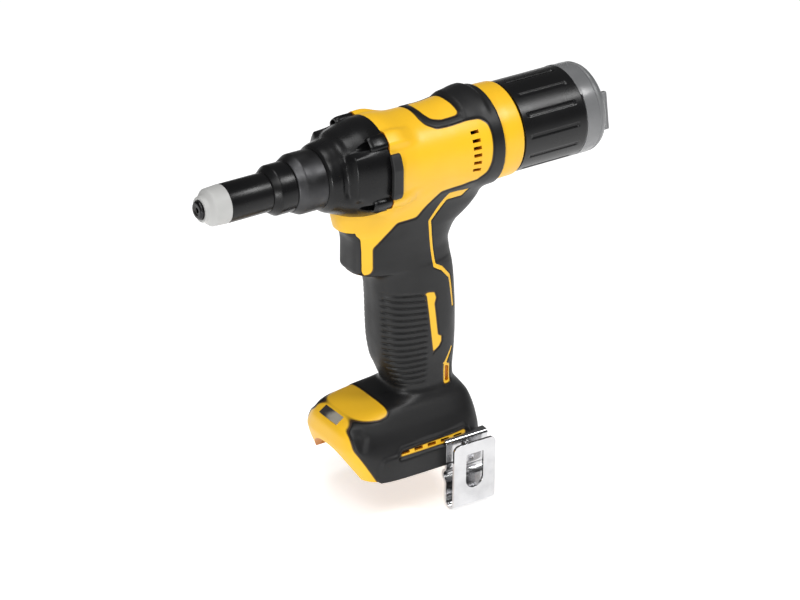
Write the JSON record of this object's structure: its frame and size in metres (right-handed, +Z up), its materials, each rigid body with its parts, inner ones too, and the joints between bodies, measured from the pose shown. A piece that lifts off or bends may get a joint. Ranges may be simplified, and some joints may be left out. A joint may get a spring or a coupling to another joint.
{
  "type": "battery rivet tool",
  "caption": "Yellow and black cordless rivet tool with a stepped nose, pistol grip, bare battery foot, belt hook and a screw-off mandrel cup at the rear.",
  "frame": {"origin": "middle of the front face of the nosepiece, on the pulling axis", "axes": "+X forward out of the nose along the pulling axis, +Y to the left of the tool, +Z up, away from the battery foot"},
  "size_m": [0.292, 0.0873, 0.2708],
  "materials": {
    "yellow": "satin moulded nylon",
    "rubber_black": "matte overmould",
    "front_black": "satin moulded nylon",
    "black_steel": "black oxide",
    "ring_grey": "fine knurled black oxide",
    "cover_grey": "matte",
    "steel": "ground",
    "chrome": "bright",
    "brass": "turned",
    "copper_wire": "enamelled",
    "iron_stack": "laminated",
    "board_green": "solder mask",
    "inner_black": "matte",
    "seal_black": "matte",
    "cup_black": "polished",
    "cap_clear": "smoked clear plastic",
    "lens": "clear plastic over lamps"
  },
  "bodies": {
    "frame": {"nosepiece": "black_steel", "nose_cover": "cover_grey", "nose_sleeve": "black_steel", "nose_collar": "black_steel", "lock_ring": "ring_grey", "front_housing": "front_black", "front_screws": "black_steel", "thrust_bearing": "steel", "nut_bearing": "steel", "ring_gear": "steel", "stator": "iron_stack", "stator_coils": "copper_wire", "motor_plate": "inner_black", "motor_bearing_front": "steel", "motor_bearing_rear": "steel", "motor_board": "board_green", "mandrel_tube": "steel", "rear_ring": "yellow", "housing_left": "yellow", "housing_right": "yellow", "grip_left": "rubber_black", "grip_right": "rubber_black", "side_bumpers": "rubber_black", "housing_screws": "black_steel", "trigger_switch": "inner_black", "control_module": "inner_black", "terminal_block": "inner_black", "terminal_blades": "brass", "led_lens": "lens", "led_board": "board_green", "belt_hook": "chrome", "hook_screw": "steel", "hook_inserts": "brass"},
    "rotor": {"rotor_shaft": "steel", "rotor_core": "iron_stack", "sun_gear": "steel", "fan": "inner_black"},
    "nut": {"ball_nut": "steel", "planet_carrier": "steel"},
    "planet_1": {"planet_1": "steel"},
    "planet_2": {"planet_2": "steel"},
    "planet_3": {"planet_3": "steel"},
    "draw_bar": {"pull_screw": "steel", "jaw_case": "steel", "jaw_pusher": "steel", "jaw_spring": "steel"},
    "jaw_1": {"jaw_1": "steel"},
    "jaw_2": {"jaw_2": "steel"},
    "jaw_3": {"jaw_3": "steel"},
    "trigger": {"trigger": "inner_black"},
    "container": {"container_cup": "cup_black", "container_seal": "seal_black"},
    "cap": {"container_cap": "cap_clear"}
  },
  "joints": [
    {"name": "rotor_spin", "type": "hinge", "parent": "frame", "child": "rotor", "pos_m": [-0.176, 0, 0], "axis": [1, 0, 0], "range_deg": [-10, 9760]},
    {"name": "nut_spin", "type": "hinge", "parent": "frame", "child": "nut", "pos_m": [-0.12, 0, 0], "axis": [1, 0, 0], "range_deg": [-3, 2253]},
    {"name": "planet_1_spin", "type": "hinge", "parent": "nut", "child": "planet_1", "pos_m": [-0.15295, 0, -0.01463], "axis": [1, 0, 0], "range_deg": [-6435.57, 7]},
    {"name": "planet_2_spin", "type": "hinge", "parent": "nut", "child": "planet_2", "pos_m": [-0.15295, 0.01267, 0.00731], "axis": [1, 0, 0], "range_deg": [-6435.57, 7]},
    {"name": "planet_3_spin", "type": "hinge", "parent": "nut", "child": "planet_3", "pos_m": [-0.15295, -0.01267, 0.00731], "axis": [1, 0, 0], "range_deg": [-6435.57, 7]},
    {"name": "screw_pull", "type": "slide", "parent": "frame", "child": "draw_bar", "axis": [-1, 0, 0], "range_m": [0, 0.025]},
    {"name": "jaw_1_close", "type": "slide", "parent": "draw_bar", "child": "jaw_1", "axis": [0.9627, -0.2705, 0], "range_m": [0, 0.0012]},
    {"name": "jaw_2_close", "type": "slide", "parent": "draw_bar", "child": "jaw_2", "axis": [0.9627, 0.1352, 0.2342], "range_m": [0, 0.0012]},
    {"name": "jaw_3_close", "type": "slide", "parent": "draw_bar", "child": "jaw_3", "axis": [0.9627, 0.1352, -0.2342], "range_m": [0, 0.0012]},
    {"name": "trigger_press", "type": "slide", "parent": "frame", "child": "trigger", "axis": [-1, 0, 0], "range_m": [0, 0.006], "stiffness_N_per_m": 800},
    {"name": "container_twist", "type": "hinge", "parent": "frame", "child": "container", "pos_m": [-0.248, 0, 0], "axis": [1, 0, 0], "range_deg": [0, 45]},
    {"name": "cap_twist", "type": "hinge", "parent": "container", "child": "cap", "pos_m": [-0.278, 0, 0], "axis": [1, 0, 0], "range_deg": [0, 60]}
  ],
  "couplings": [
    {"joint": "nut_spin", "follows": "screw_pull", "rad_per_m": 1570.8},
    {"joint": "rotor_spin", "follows": "screw_pull", "rad_per_m": 6806.8},
    {"joint": "planet_1_spin", "follows": "screw_pull", "rad_per_m": -4488},
    {"joint": "planet_2_spin", "follows": "screw_pull", "rad_per_m": -4488},
    {"joint": "planet_3_spin", "follows": "screw_pull", "rad_per_m": -4488},
    {"joint": "jaw_2_close", "follows": "jaw_1_close", "ratio": 1},
    {"joint": "jaw_3_close", "follows": "jaw_1_close", "ratio": 1}
  ]
}
